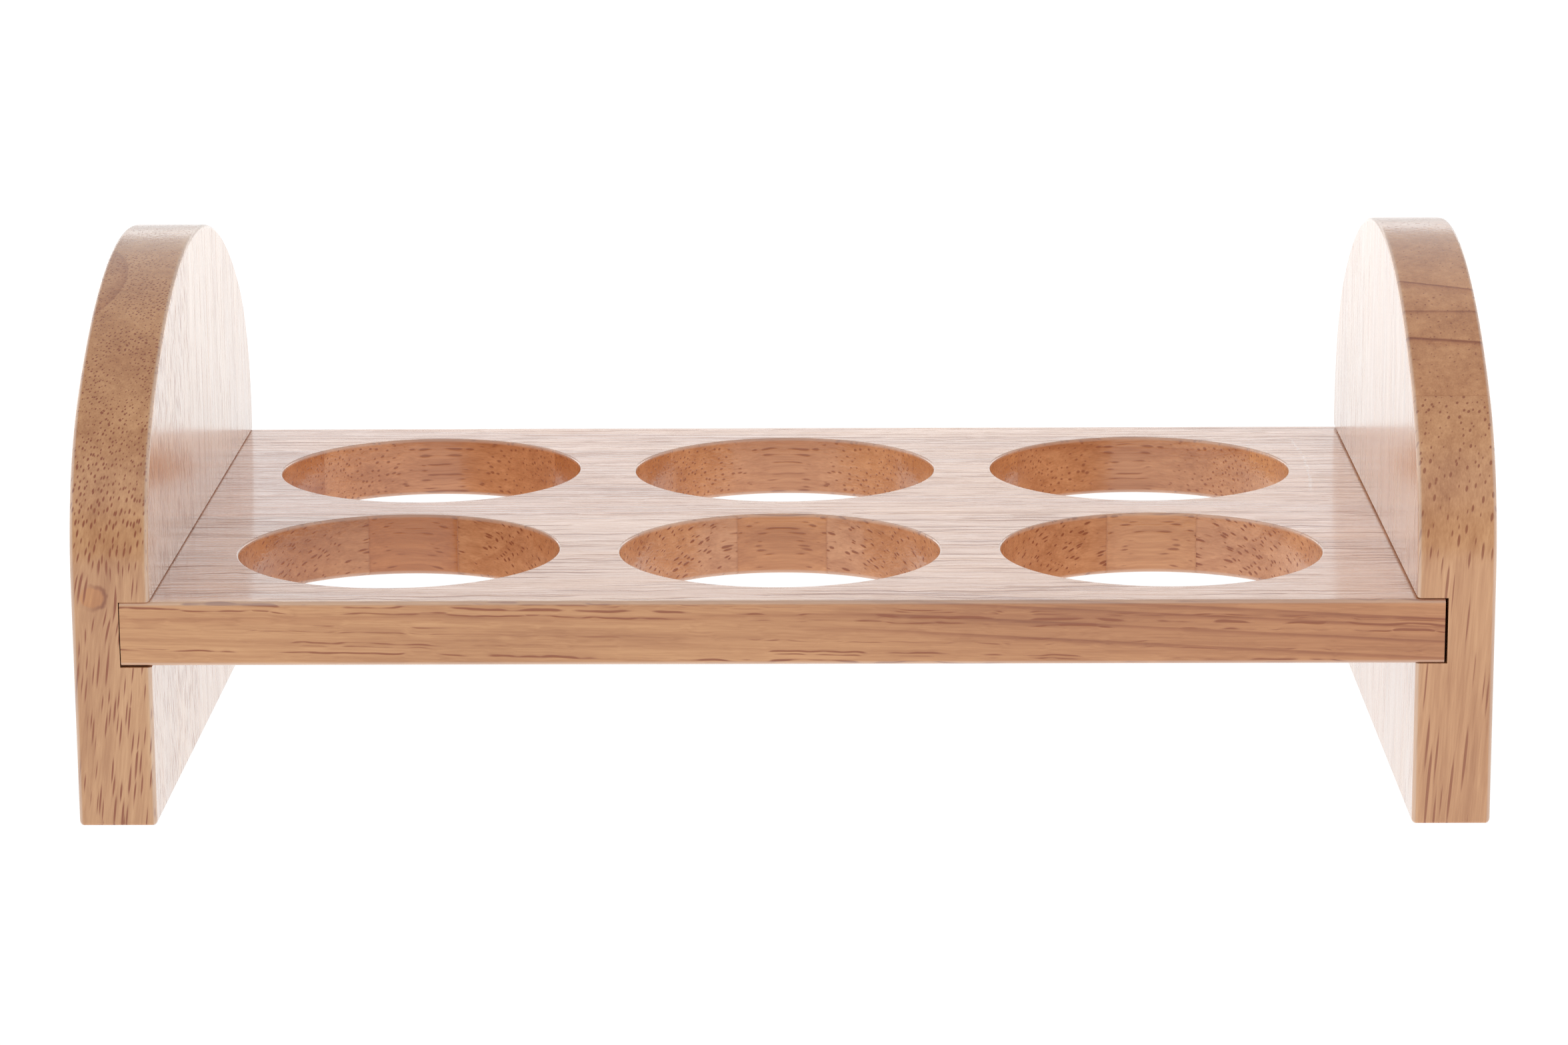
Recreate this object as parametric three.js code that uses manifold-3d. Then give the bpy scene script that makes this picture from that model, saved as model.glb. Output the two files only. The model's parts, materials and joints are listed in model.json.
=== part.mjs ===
// A small wooden rack with six wide round holes.
// The drilled shelf is three edge-glued staves. Each arched end is three upright edge-glued staves.
// The shelf's ends sit in grooves (housings) cut across the inner faces of the two ends, and are glued there.
// Millimetres. +X runs along the rack, +Y towards its back, +Z up. The origin is the middle of its footprint.
import * as THREE from "three";
import { mergeVertices } from "three/addons/utils/BufferGeometryUtils.js";
import Module from "manifold-3d";

const wasm = await Module();
wasm.setup();

// Overall size
const LENGTH = 181;
const DEPTH = 108.5;
const LEFT_HEIGHT = 68.4;
const RIGHT_HEIGHT = 68.8; // the right end stands a little taller

// Arched ends: two straight sides, two shoulder arcs and one crown arc, all tangent to each other
const END_THICKNESS = 10;
const CROWN_RADIUS = 72.2;
const SHOULDER_RADIUS = 27.2;

// Shelf
const SHELF_UNDERSIDE = 21.2;
const SHELF_THICKNESS = 8.35;
const SHELF_LENGTH = 168.5;
const SHELF_OFFSET = -0.12; // the shelf is pressed a little further into the left end

// Housings
const HOUSING_DEPTH = 4;
const HOUSING_SLACK = 0.2; // each housing is this much taller than the shelf is thick

// Holes
const HOLE_DIAMETER = 42.5;
const HOLE_COLUMNS = 3;
const COLUMN_PITCH = 50.6;
const ROW_PITCH = 50.5;
const HOLE_GROUP_OFFSET = -0.7; // the drilled group sits a little left of the middle

// Glue lines between neighbouring staves, as distances in front of (-) or behind (+) the middle
const SHELF_GLUE_LINES = [-4.9, 38.2];
const LEFT_END_GLUE_LINES = [-11.0, 37.7];
const RIGHT_END_GLUE_LINES = [-44.0, 9.7];

const STAVE_PLACES = ["front", "middle", "back"];
const SHELF_COLOURS = [0xdcb48e, 0xd8ae86, 0xdbb28c];
const LEFT_END_COLOURS = [0xd9b189, 0xdeb892, 0xdcb58f];
const RIGHT_END_COLOURS = [0xdab28c, 0xdfb994, 0xdbb48e];

// Smoothness of arcs: an arc is drawn with twice this many straight steps
const HOLE_ARC_STEPS = 44;
const ARCH_ARC_STEPS = 14;

const SHELF_TOP = SHELF_UNDERSIDE + SHELF_THICKNESS;
const INNER_FACE = LENGTH / 2 - END_THICKNESS;
const OVERSIZE = 10; // how far a cutting block runs past the solid that it cuts

function solidFrom(geometry) {
  const bare = geometry.clone();
  bare.deleteAttribute("normal");
  bare.deleteAttribute("uv");
  const merged = mergeVertices(bare, 1e-4);
  return new wasm.Manifold(
    new wasm.Mesh({
      numProp: 3,
      vertProperties: new Float32Array(merged.attributes.position.array),
      triVerts: new Uint32Array(merged.index.array),
    }),
  );
}

function geometryFrom(solid) {
  const { vertProperties, triVerts } = solid.getMesh();
  const geometry = new THREE.BufferGeometry();
  geometry.setAttribute("position", new THREE.BufferAttribute(vertProperties, 3));
  geometry.setIndex(new THREE.BufferAttribute(triVerts, 1));
  geometry.computeVertexNormals();
  return geometry;
}

function block(low, high) {
  const size = high.map((value, axis) => value - low[axis]);
  const middle = high.map((value, axis) => (value + low[axis]) / 2);
  return solidFrom(new THREE.BoxGeometry(...size).translate(...middle));
}

// A slab that keeps everything from one glue line to the next, so that a blank can be parted into staves
function slabBetween(front, back) {
  const reach = LENGTH;
  return block([-reach, front, -OVERSIZE], [reach, back, RIGHT_HEIGHT + OVERSIZE]);
}

function staveLimits(glueLines) {
  const past = DEPTH / 2 + OVERSIZE;
  const edges = [-past, ...glueLines, past];
  return STAVE_PLACES.map((place, index) => ({ place, front: edges[index], back: edges[index + 1] }));
}

function wood(colour) {
  return new THREE.MeshStandardMaterial({ color: colour, roughness: 0.45, metalness: 0 });
}

function partIntoStaves(blank, prefix, glueLines, colours) {
  const group = new THREE.Group();
  staveLimits(glueLines).forEach(({ place, front, back }, index) => {
    const stave = blank.intersect(slabBetween(front, back));
    const mesh = new THREE.Mesh(geometryFrom(stave), wood(colours[index]));
    mesh.name = `${prefix}_stave_${place}`;
    group.add(mesh);
  });
  return group;
}

// Shelf outline seen from above, with the six holes
function shelfOutline() {
  const halfLength = SHELF_LENGTH / 2;
  const halfDepth = DEPTH / 2;
  const outline = new THREE.Shape();
  outline.moveTo(-halfLength, -halfDepth);
  outline.lineTo(halfLength, -halfDepth);
  outline.lineTo(halfLength, halfDepth);
  outline.lineTo(-halfLength, halfDepth);
  outline.closePath();
  for (const row of [-0.5, 0.5]) {
    for (let column = 0; column < HOLE_COLUMNS; column += 1) {
      const x = HOLE_GROUP_OFFSET - SHELF_OFFSET + (column - (HOLE_COLUMNS - 1) / 2) * COLUMN_PITCH;
      const hole = new THREE.Path();
      hole.absarc(x, row * ROW_PITCH, HOLE_DIAMETER / 2, 0, 2 * Math.PI);
      outline.holes.push(hole);
    }
  }
  return outline;
}

function makeShelf() {
  const blank = new THREE.ExtrudeGeometry(shelfOutline(), {
    depth: SHELF_THICKNESS,
    bevelEnabled: false,
    curveSegments: HOLE_ARC_STEPS,
  });
  const shelf = partIntoStaves(solidFrom(blank), "shelf", SHELF_GLUE_LINES, SHELF_COLOURS);
  shelf.position.set(SHELF_OFFSET, 0, SHELF_UNDERSIDE);
  return shelf;
}

// Arch outline seen from the side. Its first coordinate becomes Y, and its second Z.
function archOutline(height) {
  const half = DEPTH / 2;
  const crownCentre = height - CROWN_RADIUS;
  const shoulderCentre = half - SHOULDER_RADIUS;
  const rise = Math.sqrt((CROWN_RADIUS - SHOULDER_RADIUS) ** 2 - shoulderCentre ** 2);
  const spring = crownCentre + rise;
  const tangent = Math.atan2(rise, shoulderCentre);
  const outline = new THREE.Shape();
  outline.moveTo(-half, 0);
  outline.lineTo(half, 0);
  outline.lineTo(half, spring);
  outline.absarc(shoulderCentre, spring, SHOULDER_RADIUS, 0, tangent);
  outline.absarc(0, crownCentre, CROWN_RADIUS, tangent, Math.PI - tangent);
  outline.absarc(-shoulderCentre, spring, SHOULDER_RADIUS, Math.PI - tangent, Math.PI);
  outline.closePath();
  return outline;
}

// One end, with x = 0 on its inner face. side is -1 for the left end and +1 for the right end.
// The shelf touches the top of the left housing and the floor of the right one.
function makeEnd(side, height, prefix, glueLines, colours) {
  const upright = new THREE.Matrix4().makeBasis(
    new THREE.Vector3(0, 1, 0),
    new THREE.Vector3(0, 0, 1),
    new THREE.Vector3(1, 0, 0),
  );
  const blank = new THREE.ExtrudeGeometry(archOutline(height), {
    depth: END_THICKNESS,
    bevelEnabled: false,
    curveSegments: ARCH_ARC_STEPS,
  }).applyMatrix4(upright);
  blank.translate(side < 0 ? -END_THICKNESS : 0, 0, 0);
  const slackBelow = side < 0 ? HOUSING_SLACK : 0;
  const slackAbove = HOUSING_SLACK - slackBelow;
  const reach = DEPTH / 2 + OVERSIZE;
  const floor = SHELF_UNDERSIDE - slackBelow;
  const ceiling = SHELF_TOP + slackAbove;
  const [low, high] = side < 0 ? [-HOUSING_DEPTH, OVERSIZE] : [-OVERSIZE, HOUSING_DEPTH];
  const housing = block([low, -reach, floor], [high, reach, ceiling]);
  const end = partIntoStaves(solidFrom(blank).subtract(housing), prefix, glueLines, colours);
  end.position.set(side * INNER_FACE, 0, 0);
  return end;
}

const rack = new THREE.Group();
rack.add(makeShelf());
rack.add(makeEnd(-1, LEFT_HEIGHT, "left_end", LEFT_END_GLUE_LINES, LEFT_END_COLOURS));
rack.add(makeEnd(1, RIGHT_HEIGHT, "right_end", RIGHT_END_GLUE_LINES, RIGHT_END_COLOURS));

export default rack;
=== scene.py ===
import json
import math

import bpy
from mathutils import Matrix, Vector


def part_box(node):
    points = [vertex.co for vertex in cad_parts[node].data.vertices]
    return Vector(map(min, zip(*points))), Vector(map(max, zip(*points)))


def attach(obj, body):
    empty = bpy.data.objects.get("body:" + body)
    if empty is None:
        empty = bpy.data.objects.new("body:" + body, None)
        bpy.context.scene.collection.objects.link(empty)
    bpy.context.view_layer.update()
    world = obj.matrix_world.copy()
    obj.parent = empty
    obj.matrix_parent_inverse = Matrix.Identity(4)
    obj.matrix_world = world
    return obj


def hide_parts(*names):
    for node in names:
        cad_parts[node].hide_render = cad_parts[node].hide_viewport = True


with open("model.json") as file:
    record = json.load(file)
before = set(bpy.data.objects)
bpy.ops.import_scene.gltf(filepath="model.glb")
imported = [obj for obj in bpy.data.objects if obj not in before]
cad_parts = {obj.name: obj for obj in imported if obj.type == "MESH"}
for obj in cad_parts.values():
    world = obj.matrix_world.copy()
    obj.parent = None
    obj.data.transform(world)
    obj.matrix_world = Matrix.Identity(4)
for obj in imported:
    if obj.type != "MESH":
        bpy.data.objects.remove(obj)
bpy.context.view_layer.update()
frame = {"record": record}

# Lengths below are in millimetres. Meshes are turned into metres when they are made.
MM = 0.001

# Outline of an arched end, as in the CAD source
CROWN_RADIUS = 72.2
SHOULDER_RADIUS = 27.2
HOUSING_DEPTH = 4.0
HOUSING_SLACK = 0.2

# Hole
HOLE_RADIUS = 21.25

# Rounding of edges, and how far below a face each layer of a rounded edge lies
EDGE_ROUND = 0.55
HOLE_ROUND = 0.28
CORNER_ROUND = 0.4
SEAM_ROUND = 0.5
LAYER_DEPTHS = (0.0, 0.02, 0.07, 0.16, 0.3, 0.55)
# Layers of a rounded edge down to this depth get the painted highlight
EDGE_HIGHLIGHT_DEPTH = 0.3

# Smoothness
BAY_STEPS = 110
ARCH_STEPS = 120
CORNER_STEPS = 5
SHARP_ANGLE = math.radians(40)

STAVE_PLACES = ("front", "middle", "back")


def box_mm(node):
    low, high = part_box(node)
    return low / MM, high / MM


def steps_between(first, last, count):
    return [first + (last - first) * index / count for index in range(count + 1)]


def rounding(depth, radius):
    """How far a rounded edge stands back at a depth below its face."""
    if depth >= radius:
        return 0.0
    return radius - math.sqrt(radius**2 - (radius - depth) ** 2)


class Shell:
    """Closed bodies, each a stack of matching loops with a cap at both ends, gathered into one mesh."""

    def __init__(self):
        self.points = []
        self.edge_highlights = []
        self.faces = []

    def add(self, loops, edge_highlights):
        start = len(self.points)
        count = len(loops[0])
        for loop, edge_highlight in zip(loops, edge_highlights):
            self.points.extend(loop)
            self.edge_highlights.extend([edge_highlight] * count)
        for layer in range(len(loops) - 1):
            low = start + layer * count
            high = low + count
            for here in range(count):
                beside = (here + 1) % count
                self.faces.append((low + here, low + beside, high + beside, high + here))
        last = start + (len(loops) - 1) * count
        self.faces.append(tuple(range(start + count - 1, start - 1, -1)))
        self.faces.append(tuple(range(last, last + count)))

    def build(self, name):
        mesh = bpy.data.meshes.new(name)
        mesh.from_pydata([Vector(point) * MM for point in self.points], [], self.faces)
        mesh.validate()
        mesh.polygons.foreach_set("use_smooth", [True] * len(mesh.polygons))
        mesh.set_sharp_from_angle(angle=SHARP_ANGLE)
        # Each point keeps the painted highlight of the rounded edge it lies on
        edge_highlight = mesh.attributes.new("edge_highlight", "FLOAT", "POINT")
        edge_highlight.data.foreach_set("value", self.edge_highlights)
        piece = bpy.data.objects.new(name, mesh)
        bpy.context.scene.collection.objects.link(piece)
        even = piece.modifiers.new("even normals", "WEIGHTED_NORMAL")
        even.keep_sharp = True
        return piece


def face_layers(low, high, low_rounded=True, high_rounded=True):
    """(position, depth below the nearer rounded face) of every layer between two faces."""
    below = LAYER_DEPTHS if low_rounded else (EDGE_ROUND,)
    above = LAYER_DEPTHS if high_rounded else (EDGE_ROUND,)
    layers = [(low + (depth if low_rounded else 0.0), depth) for depth in below]
    layers += [(high - (depth if high_rounded else 0.0), depth) for depth in reversed(above)]
    return layers


# Painted highlight: full on the layers of a rounded edge, none on the faces
def edge_highlight_at(depth):
    return 1.0 if 0.0 < depth <= EDGE_HIGHLIGHT_DEPTH else 0.0


# Shelf


def hole_centres():
    centres = []
    for opening in frame["record"]["physics"]["openings"]:
        if opening["name"].startswith("hole_"):
            low, high = opening["box_m"]
            centres.append(((low[0] + high[0]) / 2 / MM, (low[1] + high[1]) / 2 / MM))
    return sorted(centres)


def bay(centre, radius, line, behind):
    """Points round the part of a hole on one side of a glue line, walked clockwise."""
    tilt = math.asin((line - centre[1]) / radius)
    first, last = (math.pi - tilt, tilt) if behind else (tilt, -math.pi - tilt)
    return [
        (centre[0] + radius * math.cos(turn), centre[1] + radius * math.sin(turn))
        for turn in steps_between(first, last, BAY_STEPS)
    ]


def shelf_loop(low, high, outer_front, outer_back, depth):
    """Outline of a shelf stave at a depth below its top or bottom face."""
    set_back = rounding(depth, EDGE_ROUND)
    radius = HOLE_RADIUS + rounding(depth, HOLE_ROUND)
    front = low.y + (set_back if outer_front else 0.0)
    back = high.y - (set_back if outer_back else 0.0)
    across = hole_centres()
    loop = [(low.x, front)]
    for centre in across:
        if not outer_front and abs(front - centre[1]) < HOLE_RADIUS:
            loop += bay(centre, radius, front, True)
    loop += [(high.x, front), (high.x, back)]
    for centre in reversed(across):
        if not outer_back and abs(back - centre[1]) < HOLE_RADIUS:
            loop += bay(centre, radius, back, False)
    loop.append((low.x, back))
    return loop


def make_shelf_stave(place):
    node = f"shelf_stave_{place}"
    low, high = box_mm(node)
    loops = []
    edge_highlights = []
    for level, depth in face_layers(low.z, high.z):
        outline = shelf_loop(low, high, place == "front", place == "back", depth)
        loops.append([(x, y, level) for x, y in outline])
        edge_highlights.append(edge_highlight_at(depth))
    shell = Shell()
    shell.add(loops, edge_highlights)
    return shell.build(f"{node}_wood")


# Ends


class Arch:
    """The arched outline seen from the side, as (y, z), with an inset for rounded edges."""

    def __init__(self, half_depth, height):
        self.half_depth = half_depth
        self.crown_centre = height - CROWN_RADIUS
        self.shoulder_centre = half_depth - SHOULDER_RADIUS
        self.tangent = math.asin(self.shoulder_centre / (CROWN_RADIUS - SHOULDER_RADIUS))
        rise = (CROWN_RADIUS - SHOULDER_RADIUS) * math.cos(self.tangent)
        self.spring = self.crown_centre + rise

    def lean(self, y, inset):
        """Angle from upright of the outline's normal above y."""
        crown = CROWN_RADIUS - inset
        if abs(y) <= crown * math.sin(self.tangent):
            return math.asin(y / crown)
        share = (abs(y) - self.shoulder_centre) / (SHOULDER_RADIUS - inset)
        return math.copysign(math.asin(min(1.0, share)), y)

    def point(self, lean, inset):
        if abs(lean) <= self.tangent:
            crown = CROWN_RADIUS - inset
            return crown * math.sin(lean), self.crown_centre + crown * math.cos(lean)
        shoulder = SHOULDER_RADIUS - inset
        side = math.copysign(self.shoulder_centre, lean)
        return side + shoulder * math.sin(lean), self.spring + shoulder * math.cos(lean)

    def between(self, front, back, inset):
        """Points over the arch from its back limit to its front limit."""
        leans = steps_between(self.lean(back, inset), self.lean(front, inset), ARCH_STEPS)
        return [self.point(lean, inset) for lean in leans]


def foot(y, z, side, rounded):
    """The bottom corner of a stave. side is -1 for its front and +1 for its back."""
    if not rounded:
        return [(y, z)]
    turns = steps_between(0.0, math.pi / 2, CORNER_STEPS)
    arc = [
        (
            y - side * CORNER_ROUND * (1 - math.cos(turn)),
            z + CORNER_ROUND * (1 - math.sin(turn)),
        )
        for turn in turns
    ]
    return arc if side < 0 else list(reversed(arc))


def make_end_stave(arch, end, place, shelf_low, shelf_high):
    """One upright stave: a plate behind the housing, and a block below and above the housing."""
    node = f"{end}_end_stave_{place}"
    low, high = box_mm(node)
    side = -1 if end == "left" else 1
    outer, inner = (low.x, high.x) if side < 0 else (high.x, low.x)
    floor = inner + side * HOUSING_DEPTH
    lower_edge = shelf_low - (HOUSING_SLACK if side < 0 else 0.0)
    upper_edge = shelf_high + (0.0 if side < 0 else HOUSING_SLACK)
    is_front, is_back = place == "front", place == "back"

    def limits(inset):
        front = low.y + (inset if is_front else 0.0)
        back = high.y - (inset if is_back else 0.0)
        return front, back

    def feet(front, back, inset):
        return foot(front, inset, -1, is_front) + foot(back, inset, 1, is_back)

    def whole(inset):
        front, back = limits(inset)
        return arch.between(front, back, inset) + feet(front, back, inset)

    def below(inset):
        front, back = limits(inset)
        return [(back, lower_edge), (front, lower_edge)] + feet(front, back, inset)

    def above(inset):
        front, back = limits(inset)
        seam = upper_edge + SEAM_ROUND * inset
        return arch.between(front, back, inset) + [(front, seam), (back, seam)]

    plate = [(outer - side * depth, depth) for depth in LAYER_DEPTHS] + [(floor, EDGE_ROUND)]
    block = [(floor, EDGE_ROUND)] + [(inner + side * depth, depth) for depth in reversed(LAYER_DEPTHS)]
    shell = Shell()
    for outline, layers in ((whole, plate), (below, block), (above, block)):
        loops = []
        for x, depth in layers:
            loops.append([(x, y, z) for y, z in outline(rounding(depth, EDGE_ROUND))])
        shell.add(loops, [edge_highlight_at(depth) for _, depth in layers])
    return shell.build(f"{node}_wood")


# Wood


class Graph:
    """Short calls for adding the nodes of one material."""

    def __init__(self, name):
        self.material = bpy.data.materials.new(name)
        self.material.use_nodes = True
        self.tree = self.material.node_tree
        self.tree.nodes.clear()

    @classmethod
    def over(cls, tree):
        """The same calls for a node tree that is there already, such as the world's."""
        graph = cls.__new__(cls)
        graph.tree = tree
        tree.nodes.clear()
        return graph

    def add(self, kind, inputs=None, **settings):
        node = self.tree.nodes.new(kind)
        for key, value in settings.items():
            setattr(node, key, value)
        for socket, value in (inputs or {}).items():
            self.feed(node.inputs[socket], value)
        return node

    def feed(self, socket, value):
        if isinstance(value, bpy.types.NodeSocket):
            self.tree.links.new(value, socket)
        else:
            socket.default_value = value

    def math(self, operation, *values):
        return self.add("ShaderNodeMath", dict(enumerate(values)), operation=operation).outputs[0]

    def vector(self, operation, *values):
        node = self.add("ShaderNodeVectorMath", dict(enumerate(values)), operation=operation)
        return node.outputs[1 if operation in ("LENGTH", "DOT_PRODUCT", "DISTANCE") else 0]

    def scale(self, vector, factor):
        node = self.add("ShaderNodeVectorMath", {0: vector, "Scale": factor}, operation="SCALE")
        return node.outputs[0]

    def parts(self, vector):
        return self.add("ShaderNodeSeparateXYZ", {0: vector}).outputs

    def join(self, x, y, z):
        return self.add("ShaderNodeCombineXYZ", {0: x, 1: y, 2: z}).outputs[0]

    def step(self, value, start, end, low=0.0, high=1.0):
        """low before start, high after end, and a smooth change between them."""
        inputs = {0: value, 1: start, 2: end, 3: low, 4: high}
        node = self.add("ShaderNodeMapRange", inputs, interpolation_type="SMOOTHSTEP")
        return node.outputs[0]

    def noise(self, point, size, detail=2.0, roughness=0.5):
        """Noise from 0 to 1 whose blotches are about size mm across, along the three grain axes."""
        inputs = {
            "Vector": self.vector("DIVIDE", point, size),
            "Scale": 1.0,
            "Detail": detail,
            "Roughness": roughness,
        }
        return self.add("ShaderNodeTexNoise", inputs)

    def swing(self, point, size, amount, detail=2.0):
        """Noise spread evenly round zero, by about amount either way."""
        fac = self.noise(point, size, detail).outputs[0]
        return self.math("MULTIPLY", self.math("SUBTRACT", fac, 0.5), 2.0 * amount)

    def mix(self, mask, low, high):
        node = self.add("ShaderNodeMix", data_type="RGBA")
        self.feed(node.inputs[0], mask)
        self.feed(node.inputs[6], low)
        self.feed(node.inputs[7], high)
        return node.outputs[2]


# Colours are linear. PALE is the wood itself. PORE, SCUFF and the painted highlight on rounded edges are
# laid over it. The rest multiply it, the painted sheen on the ends' inner faces among them.
PALE = (0.645, 0.346, 0.174)
PORE = (0.33, 0.088, 0.026, 1.0)
WHITE = (1.0, 1.0, 1.0, 1.0)
RING = (0.84, 0.72, 0.64, 1.0)
RING_CORE = (0.60, 0.42, 0.33, 1.0)
END_GRAIN = (0.95, 0.88, 0.82, 1.0)
# Painted highlight laid over rounded edges
EDGE_HIGHLIGHT = (0.93, 0.86, 0.79, 1.0)
# Painted sheen: makes the ends' inner faces paler and less saturated
INNER_FACE_SHEEN = (1.06, 1.16, 1.28, 1.0)
# How strongly the painted highlight pales rounded edges
EDGE_HIGHLIGHT_AMOUNT = 0.28
GLUE = (0.88, 0.82, 0.78, 1.0)
KNOT = (0.98, 0.83, 0.64, 1.0)
KNOT_RIM = (0.62, 0.42, 0.31, 1.0)
SCUFF = (0.93, 0.88, 0.83, 1.0)

# Sizes of the marks in the wood, in mm: two across the grain and one along it
FIBRE_SIZE = (0.24, 0.24, 9.0)
STREAK_SIZE = (0.9, 0.9, 26.0)
TONE_SIZE = (5.0, 5.0, 55.0)
PATCH_SIZE = (5.0, 5.0, 15.0)
RING_WOBBLE_SIZE = (9.0, 9.0, 40.0)
SMEAR_SIZE = (3.0, 3.0, 14.0)
KNOT_RAGGED_SIZE = (1.2, 1.2, 1.2)

# How strongly each of them changes the tone, and its effect on red, green and blue
FIBRE_TONE = 0.24
STREAK_TONE = 0.30
PATCH_TONE = 0.34
SHADE_POWERS = (0.8, 1.2, 1.5)

# Vessels: the softness of their edges, the radius under which they fade out, and the noise values
# between which they widen from their least share to full width
VESSEL_SOFT = 0.05
VESSEL_LEAST = 0.08
PATCH_TURN = (0.3, 0.55)
PATCH_LEAST = 0.5

# Where the shelf's front face gives way to its inside, and the glue lines' half width
FACE_DEPTH = (-53.6, -51.5)
GLUE_WIDTH = 0.09

# The painted sheen that pales the ends' inner faces fades out between these depths behind the face
END_INSIDE = box_mm("right_end_stave_front")[0].x
INNER_SHEEN_FADE = (0.2, 1.2)

# Growth lines. Below the arched edge, between two heights, some stray and fade to a share of their strength.
RING_CORE_WIDTH = 0.5
RING_SHOWS = (0.0, 0.5)
SWAY_HEIGHTS = (28.0, 58.0)
SWAY_SIZE = (9.0, 9.0, 26.0)
SWAY_FADE = 0.5

# Knot. Its limits are in knot half sizes from its centre. The rim is fainter on the left.
KNOT_PUSH = 0.4
KNOT_REACH = 3.0
KNOT_BEND_HEIGHT = 0.6
KNOT_RAGGED = 0.25
KNOT_EDGE = (0.75, 1.0)
KNOT_RIM_START = (0.72, 0.98)
KNOT_RIM_END = (1.0, 1.25)
KNOT_RIM_TURN = (-1.0, 1.6)
KNOT_RIM_LEFT = 0.15

# A rub mark on the shelf: its arc's centre and radius, and where along y it starts and ends, in mm
SCUFF_CENTRE = (-90.0, 29.0)
SCUFF_RADIUS = 164.0
SCUFF_ENDS = (9.0, 46.0)
SCUFF_FADE = 3.0
SCUFF_HALF_WIDTH = 0.4
SCUFF_BREAKS = (0.8, 1.6, 0.8)
SCUFF_TURN = (0.35, 0.6)
SCUFF_AMOUNT = 0.5

BUMP_DISTANCE = 0.05 * MM
BUMP_STRENGTH = 0.5
STREAK_RELIEF = 1.5
PORE_DEPTH = 0.5
ROUGHNESS = (0.18, 0.29)
SMEAR_TURN = (0.2, 0.8)
PORE_ROUGHNESS = 0.3
GLOSS_IOR = 1.5
SHELF_COAT = 0.8
END_COAT = 1.0
SHELF_COAT_ROUGHNESS = 0.09
END_COAT_ROUGHNESS = 0.18


def ring_mask(g, ring, place, wobble):
    """A growth line, which darkens slowly on one side and ends sharply on the other, and its dark core."""
    x, y, z = g.parts(place)
    if ring["centre"]:
        reach = g.vector("DISTANCE", g.join(x, y, 0.0), (*ring["centre"], 0.0))
    else:
        reach = g.vector("DOT_PRODUCT", place, ring["normal"])
    reach = g.math("SUBTRACT", reach, ring["at"])
    reach = g.math("ADD", reach, g.math("MULTIPLY", wobble, ring["wobble"]))
    if ring["sway"]:
        sway = g.swing(place, SWAY_SIZE, ring["sway"])
        reach = g.math("ADD", reach, g.math("MULTIPLY", sway, g.step(z, *SWAY_HEIGHTS, 1.0, 0.0)))
    rise = g.step(reach, -ring["soft"], 0.0)
    fall = g.step(reach, 0.0, ring["sharp"], 1.0, 0.0)
    core = g.step(reach, -RING_CORE_WIDTH, 0.0)
    strength = ring["strength"]
    if ring["every"]:
        turn = g.math("SUBTRACT", x, ring["shift"])
        turn = g.math("MULTIPLY", turn, 2 * math.pi / ring["every"])
        strength = g.math("MULTIPLY", g.step(g.math("COSINE", turn), *RING_SHOWS), strength)
    if ring["sway"]:
        strength = g.math("MULTIPLY", g.step(z, *SWAY_HEIGHTS, SWAY_FADE, 1.0), strength)
    fall = g.math("MULTIPLY", fall, strength)
    line = g.math("MULTIPLY", rise, fall)
    dark = g.math("MULTIPLY", g.math("MULTIPLY", core, fall), ring["core"])
    return line, dark


def knot_space(g, knot, place):
    """The place as measured from the knot's centre, in knot half sizes."""
    return g.vector("DIVIDE", g.vector("SUBTRACT", place, knot["centre"]), knot["half_size"])


def knot_colour(g, knot, place, colour):
    """A small pin knot with a dark rim."""
    gap = g.vector("LENGTH", knot_space(g, knot, place))
    gap = g.math("ADD", gap, g.swing(place, KNOT_RAGGED_SIZE, KNOT_RAGGED))
    colour = g.vector("MULTIPLY", colour, g.mix(g.step(gap, *KNOT_EDGE, 1.0, 0.0), WHITE, KNOT))
    rim = g.math("MULTIPLY", g.step(gap, *KNOT_RIM_START), g.step(gap, *KNOT_RIM_END, 1.0, 0.0))
    rightward = g.math("SUBTRACT", g.parts(place)[0], knot["centre"][0])
    rim = g.math("MULTIPLY", rim, g.step(rightward, *KNOT_RIM_TURN, KNOT_RIM_LEFT, 1.0))
    return g.vector("MULTIPLY", colour, g.mix(rim, WHITE, KNOT_RIM))


def round_knot(g, knot, place, x):
    """x bent so that the grain flows round the knot."""
    across, _, up = g.parts(knot_space(g, knot, place))
    away = g.vector("LENGTH", g.join(across, g.math("MULTIPLY", up, KNOT_BEND_HEIGHT), 0.0))
    push = g.step(away, 0.0, KNOT_REACH, KNOT_PUSH, 0.0)
    shift = g.math("MULTIPLY", g.math("SUBTRACT", x, knot["centre"][0]), push)
    return g.math("SUBTRACT", x, shift)


def nearest_vessel(g, grain, size, radial):
    """Distance to the nearest vessel, and its radius. Vessels sit in short chains along the radial angle."""
    cell, small, large, stretch, _ = size
    first, second, _ = g.parts(grain)
    cosine = math.cos(math.radians(radial))
    sine = math.sin(math.radians(radial))
    outward = g.math("ADD", g.math("MULTIPLY", first, cosine), g.math("MULTIPLY", second, sine))
    sideways = g.math("SUBTRACT", g.math("MULTIPLY", second, cosine), g.math("MULTIPLY", first, sine))
    flat = g.join(g.math("DIVIDE", outward, cell * stretch), g.math("DIVIDE", sideways, cell), 0.0)
    node = g.add("ShaderNodeTexVoronoi", {"Vector": flat, "Scale": 1.0}, voronoi_dimensions="2D")
    distance = g.math("MULTIPLY", node.outputs["Distance"], cell)
    chance = g.parts(node.outputs["Color"])[0]
    return distance, g.step(chance, 0.0, 1.0, small, large)


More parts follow.
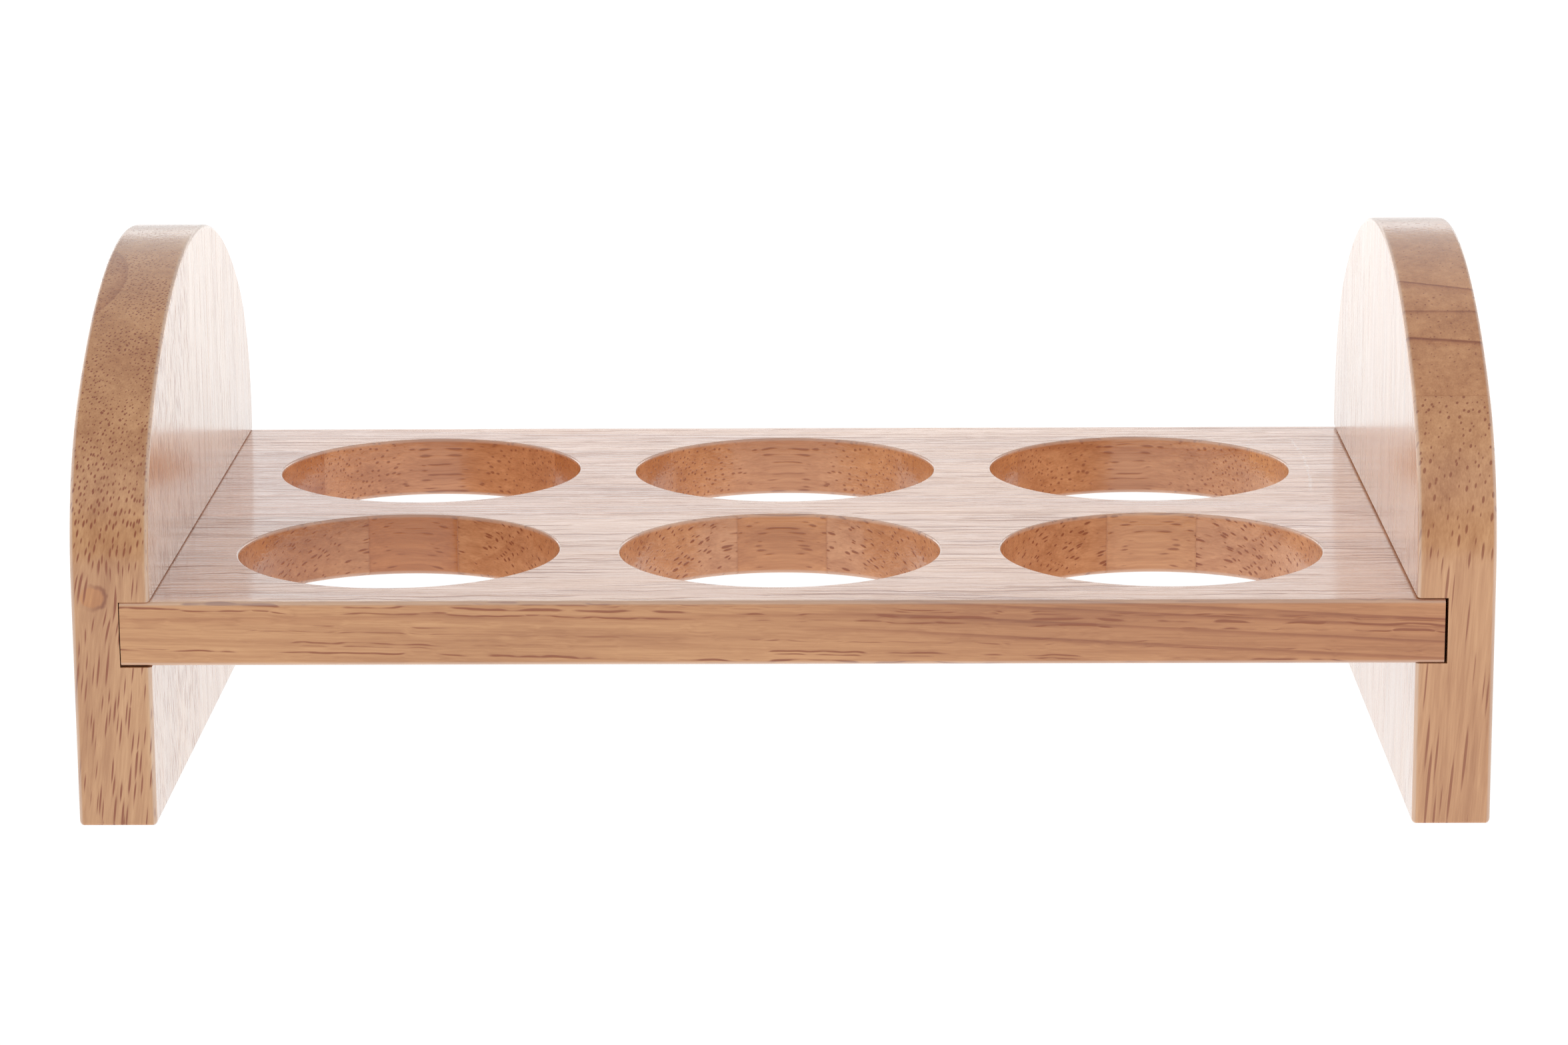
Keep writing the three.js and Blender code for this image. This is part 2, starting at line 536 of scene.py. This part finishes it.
def open_vessels(g, recipe, straight, grain):
    """Mask of the cut vessels, in patches where they are wider and narrower."""
    distance, radius = nearest_vessel(g, grain, recipe["vessels"], recipe["radial"])
    patch = g.noise(straight, PATCH_SIZE, 1.0).outputs[0]
    radius = g.math("MULTIPLY", radius, g.step(patch, *PATCH_TURN, PATCH_LEAST, 1.0))
    inside = g.step(g.math("SUBTRACT", radius, distance), -VESSEL_SOFT, VESSEL_SOFT)
    mask = g.math("MULTIPLY", inside, g.step(radius, 0.0, VESSEL_LEAST))
    return g.math("MULTIPLY", mask, recipe["vessels"][-1])


def scuff_mask(g, place):
    """A dry rub mark beside the back right hole: a long, gentle, broken arc, right through the shelf."""
    x, y, _ = g.parts(place)
    across = g.math("SUBTRACT", x, SCUFF_CENTRE[0])
    behind = g.math("SUBTRACT", y, SCUFF_CENTRE[1])
    squares = g.math("ADD", g.math("MULTIPLY", across, across), g.math("MULTIPLY", behind, behind))
    off_line = g.math("ABSOLUTE", g.math("SUBTRACT", g.math("SQRT", squares), SCUFF_RADIUS))
    mask = g.step(off_line, 0.0, SCUFF_HALF_WIDTH, 1.0, 0.0)
    front, back = SCUFF_ENDS
    mask = g.math("MULTIPLY", mask, g.step(y, front, front + SCUFF_FADE))
    mask = g.math("MULTIPLY", mask, g.step(y, back - SCUFF_FADE, back, 1.0, 0.0))
    broken = g.noise(place, SCUFF_BREAKS).outputs[0]
    return g.math("MULTIPLY", mask, g.step(broken, *SCUFF_TURN, 0.0, SCUFF_AMOUNT))


def lay_grain(g, recipe, place):
    """The place in the wood's own directions, along its lean, and the same with the grain's wandering."""
    x, y, z = g.parts(place)
    bent = round_knot(g, recipe["knot"], place, x) if recipe["knot"] else x
    first, second, along = (y, z, x) if recipe["grain"] == "x" else (bent, y, z)
    lean_first, lean_second = recipe["lean"]
    first = g.math("ADD", first, g.math("MULTIPLY", along, lean_first))
    second = g.math("ADD", second, g.math("MULTIPLY", along, lean_second))
    straight = g.vector("ADD", g.join(first, second, along), recipe["seed"])
    wander_first, wander_second, wander_across, wander_along = recipe["wander"]
    wander_size = (wander_across, wander_across, wander_along)
    drift = g.vector("SUBTRACT", g.noise(straight, wander_size).outputs[1], (0.5, 0.5, 0.5))
    drift = g.vector("MULTIPLY", drift, (2 * wander_first, 2 * wander_second, 0.0))
    return straight, g.vector("ADD", straight, drift)


def stave_colour(g, recipe, place):
    """The stave's own colour, which turns along x and may differ on the shelf's front face."""
    x, y, _ = g.parts(place)
    colour = g.mix(g.step(x, *recipe["turn"]), recipe["tint"], recipe["far_tint"])
    if recipe["face"]:
        near, far, turn = recipe["face"]
        face = g.mix(g.step(x, *turn), near, far)
        colour = g.mix(g.step(y, *FACE_DEPTH), face, colour)
    return g.vector("MULTIPLY", colour, PALE)


def marked_colour(g, recipe, place, straight, colour):
    """The colour with the stave's growth lines and knot."""
    wobble = g.swing(straight, RING_WOBBLE_SIZE, 1.0)
    for ring in recipe["rings"]:
        line, dark = ring_mask(g, ring, place, wobble)
        colour = g.vector("MULTIPLY", colour, g.mix(line, WHITE, RING))
        colour = g.vector("MULTIPLY", colour, g.mix(dark, WHITE, RING_CORE))
    if recipe["knot"]:
        colour = knot_colour(g, recipe["knot"], place, colour)
    return colour


def finished_colour(g, recipe, place, normal, glue_lines, colour):
    """The colour with a painted sheen that pales the ends' inner faces, end grain, a painted highlight on
    rounded edges, the rub mark and glue lines.
    """
    x, y, _ = g.parts(place)
    along_x = recipe["grain"] == "x"
    # Painted sheen: the ends' inner faces are made paler and less saturated
    if not along_x:
        fade_start, fade_end = INNER_SHEEN_FADE
        inner_sheen = g.math("ABSOLUTE", x)
        inner_sheen = g.step(inner_sheen, END_INSIDE + fade_start, END_INSIDE + fade_end, 1.0, 0.0)
        colour = g.vector("MULTIPLY", colour, g.mix(inner_sheen, WHITE, INNER_FACE_SHEEN))
    axis = (1.0, 0.0, 0.0) if along_x else (0.0, 0.0, 1.0)
    facing = g.math("ABSOLUTE", g.vector("DOT_PRODUCT", normal, axis))
    colour = g.vector("MULTIPLY", colour, g.mix(facing, WHITE, END_GRAIN))
    # Painted highlight: rounded edges are paled towards a light colour
    edge_highlight = g.add("ShaderNodeAttribute", attribute_name="edge_highlight").outputs["Fac"]
    colour = g.mix(g.math("MULTIPLY", edge_highlight, EDGE_HIGHLIGHT_AMOUNT), colour, EDGE_HIGHLIGHT)
    if along_x:
        colour = g.mix(scuff_mask(g, place), colour, SCUFF)
    for line in glue_lines:
        gap = g.math("ABSOLUTE", g.math("SUBTRACT", y, line))
        joint = g.step(gap, 0.0, GLUE_WIDTH, 1.0, 0.0)
        colour = g.vector("MULTIPLY", colour, g.mix(joint, WHITE, GLUE))
    return colour


def lacquer(g, along_x, colour, straight, vessel, height):
    """Satin clear lacquer over the wood, rougher where a vessel is open."""
    bump = g.add(
        "ShaderNodeBump",
        {"Strength": BUMP_STRENGTH, "Distance": BUMP_DISTANCE, "Height": height},
    )
    smear = g.noise(straight, SMEAR_SIZE).outputs[0]
    rough = g.step(smear, *SMEAR_TURN, *ROUGHNESS)
    rough = g.math("ADD", rough, g.math("MULTIPLY", vessel, PORE_ROUGHNESS))
    shader = g.add(
        "ShaderNodeBsdfPrincipled",
        {
            "Base Color": colour,
            "Roughness": rough,
            "Normal": bump.outputs[0],
            "IOR": GLOSS_IOR,
            "Coat Weight": SHELF_COAT if along_x else END_COAT,
            "Coat IOR": GLOSS_IOR,
            "Coat Roughness": SHELF_COAT_ROUGHNESS if along_x else END_COAT_ROUGHNESS,
            "Coat Normal": bump.outputs[0],
        },
    )
    output = g.add("ShaderNodeOutputMaterial")
    g.tree.links.new(shader.outputs[0], output.inputs[0])


def make_wood(name, recipe, glue_lines):
    """Pale close-grained hardwood under lacquer. Its grain runs along x in the shelf and z in the ends."""
    g = Graph(name)
    texture = g.add("ShaderNodeTexCoord")
    place = g.scale(texture.outputs["Object"], 1.0 / MM)
    straight, grain = lay_grain(g, recipe, place)

    fibre = g.swing(grain, FIBRE_SIZE, FIBRE_TONE)
    streak = g.swing(grain, STREAK_SIZE, STREAK_TONE)
    tone = g.swing(straight, TONE_SIZE, PATCH_TONE)
    shade = g.math("ADD", g.math("ADD", fibre, streak), g.math("ADD", tone, 1.0))
    warm_shade = g.join(*(g.math("POWER", shade, power) for power in SHADE_POWERS))
    vessel = open_vessels(g, recipe, straight, grain)

    colour = g.vector("MULTIPLY", stave_colour(g, recipe, place), warm_shade)
    colour = marked_colour(g, recipe, place, straight, colour)
    colour = g.mix(vessel, colour, PORE)
    colour = finished_colour(g, recipe, place, texture.outputs["Normal"], glue_lines, colour)

    height = g.math("SUBTRACT", fibre, g.math("MULTIPLY", vessel, PORE_DEPTH))
    height = g.math("ADD", height, g.math("MULTIPLY", streak, STREAK_RELIEF))
    lacquer(g, recipe["grain"] == "x", colour, straight, vessel, height)
    return g.material


def plane_ring(normal, at, soft, sharp, strength, wobble=0.4, every=0.0, shift=0.0, core=0.3, sway=0.0):
    """A growth line so far from the pith that it is flat. It may show only at even steps along x."""
    return {
        "centre": None,
        "normal": normal,
        "at": at,
        "soft": soft,
        "sharp": sharp,
        "strength": strength,
        "wobble": wobble,
        "every": every,
        "shift": shift,
        "core": core,
        "sway": sway,
    }


def round_ring(centre, at, soft, sharp, strength, wobble=0.3, core=0.3):
    """A growth line round a centre in the x, y plane."""
    ring = plane_ring(None, at, soft, sharp, strength, wobble, core=core)
    ring["centre"] = centre
    return ring


def right_front_mark(at):
    """One of the short dark marks near the right end of the shelf's front face."""
    return plane_ring((0.05, 0.2, 0.98), at, 0.7, 0.15, 0.7, 0.25, 360.0, 85.0, 0.6)


# Wander: how far vessels stray in the two directions across the grain, and how far apart the bends are
# across and along it. Vessels: cell, smallest and largest radius, length of a chain, and darkness.
END_WANDER = (0.5, 0.5, 3.2, 7.0)
SHELF_WANDER = (0.3, 0.6, 3.5, 8.0)
END_VESSELS = (0.6, 0.05, 0.13, 1.3, 0.85)
SHELF_VESSELS = (0.55, 0.045, 0.12, 1.6, 0.8)
NO_TURN = (-1.0, 1.0)
RIGHT_FRONT_MARKS = (14.9, 17.0, 18.8, 19.9)
END_SWAY = 2.4


def recipe(
    grain,
    seed,
    tint,
    lean=(0.0, 0.0),
    wander=END_WANDER,
    vessels=END_VESSELS,
    radial=45.0,
    rings=(),
    knot=None,
    far_tint=None,
    turn=NO_TURN,
    face=None,
):
    return {
        "grain": grain,
        "seed": seed,
        "tint": (*tint, 1.0),
        "far_tint": (*(far_tint or tint), 1.0),
        "turn": turn,
        "face": face,
        "lean": lean,
        "wander": wander,
        "vessels": vessels,
        "radial": radial,
        "rings": rings,
        "knot": knot,
    }


RECIPES = {
    "shelf_stave_front": recipe(
        "x",
        (13.0, 71.0, 5.0),
        (0.78, 0.55, 0.39),
        lean=(0.0, 0.02),
        wander=(1.2, 0.22, 4.0, 9.0),
        vessels=(0.6, 0.05, 0.145, 2.2, 0.95),
        rings=(
            plane_ring((0.0, 0.71, 0.71), 12.6, 2.6, 0.2, 0.32, 0.9, 50.6, 11.5, 0.5),
            plane_ring((0.0, 0.2, 0.98), 16.0, 1.0, 0.3, 0.5, 0.9),
            *(right_front_mark(at) for at in RIGHT_FRONT_MARKS),
        ),
        far_tint=(1.04, 0.91, 0.87),
        turn=(-80.0, -32.0),
        face=((1.02, 0.92, 0.78, 1.0), (0.86, 0.65, 0.50, 1.0), (-50.0, 85.0)),
    ),
    "shelf_stave_middle": recipe(
        "x",
        (47.0, 19.0, 63.0),
        (0.86, 0.58, 0.38),
        wander=SHELF_WANDER,
        vessels=SHELF_VESSELS,
        radial=70.0,
        rings=(plane_ring((0.03, 0.25, 0.97), 31.0, 2.0, 0.25, 0.7, 1.0, core=0.15),),
        far_tint=(1.06, 0.91, 0.76),
        turn=(-70.0, 70.0),
    ),
    "shelf_stave_back": recipe(
        "x",
        (91.0, 37.0, 29.0),
        (1.03, 0.83, 0.72),
        wander=SHELF_WANDER,
        vessels=SHELF_VESSELS,
        radial=80.0,
        rings=(plane_ring((0.03, 0.3, 0.95), 41.8, 1.6, 0.25, 0.7, 1.2, core=0.15),),
        far_tint=(1.02, 0.88, 0.80),
        turn=(-60.0, 60.0),
    ),
    "left_end_stave_front": recipe(
        "z",
        (17.0, 43.0, 11.0),
        (0.96, 0.90, 0.82),
        lean=(-0.1, 0.075),
        wander=(0.12, 0.18, 3.2, 7.0),
        vessels=(0.5, 0.075, 0.13, 1.3, 1.0),
        rings=(
            round_ring((-102.5, -20.0), 15.4, 2.4, 0.2, 1.0, 0.1, 0.3),
            plane_ring((-0.42, 0.907, 0.0), 1.9, 2.0, 1.2, 0.3, 0.5, core=0.0),
        ),
        knot={"centre": (-87.85, -54.3, 30.15), "half_size": (1.85, 4.0, 1.55)},
    ),
    "left_end_stave_middle": recipe("z", (53.0, 83.0, 31.0), (1.0, 0.99, 0.97)),
    "left_end_stave_back": recipe("z", (29.0, 7.0, 67.0), (1.0, 0.99, 0.97)),
    "right_end_stave_front": recipe(
        "z",
        (5.0, 23.0, 89.0),
        (1.0, 0.91, 0.83),
        lean=(-0.06, 0.045),
        wander=(0.12, 0.18, 4.0, 9.0),
        vessels=(0.85, 0.07, 0.17, 1.3, 0.85),
    ),
    "right_end_stave_middle": recipe(
        "z",
        (73.0, 59.0, 3.0),
        (1.0, 0.89, 0.79),
        vessels=(0.95, 0.05, 0.12, 1.3, 0.8),
        rings=(
            plane_ring((0.225, 0.974, 0.0), -4.2, 2.2, 0.15, 1.0, 0.15, core=0.9, sway=END_SWAY),
            plane_ring((0.01, 1.0, 0.0), -29.1, 1.4, 0.12, 0.8, 0.12, core=0.8, sway=END_SWAY),
            plane_ring((0.09, 0.996, 0.0), -27.6, 1.6, 0.3, 1.0, 0.2, core=1.0, sway=END_SWAY),
        ),
    ),
    "right_end_stave_back": recipe("z", (37.0, 97.0, 41.0), (1.0, 0.94, 0.89)),
}


def finish_piece(piece, node, glue_lines):
    piece.data.materials.append(make_wood(f"{node}_lacquered", RECIPES[node], glue_lines))
    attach(piece, "root")
    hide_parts(node)


def glue_lines_of(prefix):
    """Where one stave meets the next, along y."""
    return [box_mm(f"{prefix}_stave_{place}")[0].y for place in STAVE_PLACES[1:]]


def make_rack():
    shelf_low, shelf_high = box_mm("shelf_stave_front")
    for place in STAVE_PLACES:
        node = f"shelf_stave_{place}"
        finish_piece(make_shelf_stave(place), node, glue_lines_of("shelf"))
    for end in ("left", "right"):
        half_depth = -box_mm(f"{end}_end_stave_front")[0].y
        arch = Arch(half_depth, box_mm(f"{end}_end_stave_middle")[1].z)
        for place in STAVE_PLACES:
            node = f"{end}_end_stave_{place}"
            piece = make_end_stave(arch, end, place, shelf_low.z, shelf_high.z)
            finish_piece(piece, node, glue_lines_of(f"{end}_end"))


# Studio

# The light's strength by direction. A direction is a unit vector, so its limits run from -1 to 1.
# The world's background keeps its own grey of 0.8, so each SKY and BAND strength shows as 0.8 of its number.
FLOOR_SIZE = 6.0
FLOOR_GLOW = 1.04
FLOOR_GLOW_BEHIND = 1.24
FLOOR_FADE = (0.06, 0.5)
SKY_LEFT = 1.5
SKY_MIDDLE = 0.8
SKY_RIGHT = 1.15
SKY_FRONT_LOW = 0.4
SKY_FRONT = 0.96
SKY_TOP = 0.68
LEFT_TURN = (-0.75, -0.2)
RIGHT_TURN = (0.2, 0.75)
FRONT_TURN = (-0.8, -0.3)
FRONT_RISE = (0.2, 0.55)
TOP_RISE = (0.72, 0.92)
BAND_LOW = 1.02
BAND_MIDDLE = 2.1
BAND_SIDE = 2.7
BAND_ASIDE = (0.55, 0.82)
BAND_RISE = (0.13, 0.2)
BAND_HEIGHT = (0.2, 0.29)
BAND_SIDE_TURN = (0.25, 0.5)


def make_floor():
    half = FLOOR_SIZE / 2
    mesh = bpy.data.meshes.new("floor")
    corners = [(-half, -half, 0), (half, -half, 0), (half, half, 0), (-half, half, 0)]
    mesh.from_pydata(corners, [], [(0, 1, 2, 3)])
    floor = bpy.data.objects.new("floor", mesh)
    bpy.context.scene.collection.objects.link(floor)
    g = Graph("pale_lit_floor")
    depth = g.parts(g.add("ShaderNodeTexCoord").outputs["Object"])[1]
    glow = g.step(depth, *FLOOR_FADE, FLOOR_GLOW, FLOOR_GLOW_BEHIND)
    shader = g.add("ShaderNodeEmission", {"Color": WHITE, "Strength": glow})
    output = g.add("ShaderNodeOutputMaterial")
    g.tree.links.new(shader.outputs[0], output.inputs[0])
    mesh.materials.append(g.material)


def make_surround():
    """A pale room, brightest on its left, with a low strip of light behind the object and at its sides."""
    world = bpy.data.worlds.new("pale_studio")
    bpy.context.scene.world = world
    world.use_nodes = True
    g = Graph.over(world.node_tree)
    x, y, z = g.parts(g.add("ShaderNodeTexCoord").outputs["Generated"])
    sky = g.step(x, *LEFT_TURN, SKY_LEFT, SKY_MIDDLE)
    sky = g.step(g.step(x, *RIGHT_TURN), 0.0, 1.0, sky, SKY_RIGHT)
    front = g.step(z, *FRONT_RISE, SKY_FRONT_LOW, SKY_FRONT)
    sky = g.step(g.step(y, *FRONT_TURN), 0.0, 1.0, front, sky)
    sky = g.step(g.step(z, *TOP_RISE), 0.0, 1.0, sky, SKY_TOP)
    band = g.math("MULTIPLY", g.step(y, *BAND_ASIDE), g.step(z, *BAND_HEIGHT, 1.0, 0.0))
    middle_glow = g.step(z, *BAND_RISE, BAND_LOW, BAND_MIDDLE)
    band_glow = g.step(g.math("ABSOLUTE", x), *BAND_SIDE_TURN, middle_glow, BAND_SIDE)
    glow = g.step(band, 0.0, 1.0, sky, band_glow)
    background = g.add("ShaderNodeBackground", {"Strength": glow})
    output = g.add("ShaderNodeOutputWorld")
    g.tree.links.new(background.outputs[0], output.inputs[0])


CAMERA_PLACE = (0.009263, -0.646303, 0.175022)
CAMERA_LENS = 110.26
CAMERA_SENSOR = 36.0
CAMERA_YAW = -0.01509
CAMERA_PITCH = 0.22451
CAMERA_ROLL = 0.0059


def make_camera():
    data = bpy.data.cameras.new("camera")
    data.lens = CAMERA_LENS
    data.sensor_width = CAMERA_SENSOR
    camera = bpy.data.objects.new("camera", data)
    bpy.context.scene.collection.objects.link(camera)
    forward = Vector((
        math.sin(CAMERA_YAW) * math.cos(CAMERA_PITCH),
        math.cos(CAMERA_YAW) * math.cos(CAMERA_PITCH),
        -math.sin(CAMERA_PITCH),
    ))
    right = Vector((math.cos(CAMERA_YAW), -math.sin(CAMERA_YAW), 0.0))
    down = forward.cross(right)
    turned_right = right * math.cos(CAMERA_ROLL) + down * math.sin(CAMERA_ROLL)
    turned_down = down * math.cos(CAMERA_ROLL) - right * math.sin(CAMERA_ROLL)
    turn = Matrix((turned_right, -turned_down, -forward)).transposed()
    camera.matrix_world = Matrix.Translation(CAMERA_PLACE) @ turn.to_4x4()
    bpy.context.scene.camera = camera


make_rack()
make_floor()
make_surround()
make_camera()
bpy.context.scene.view_settings.view_transform = "Standard"
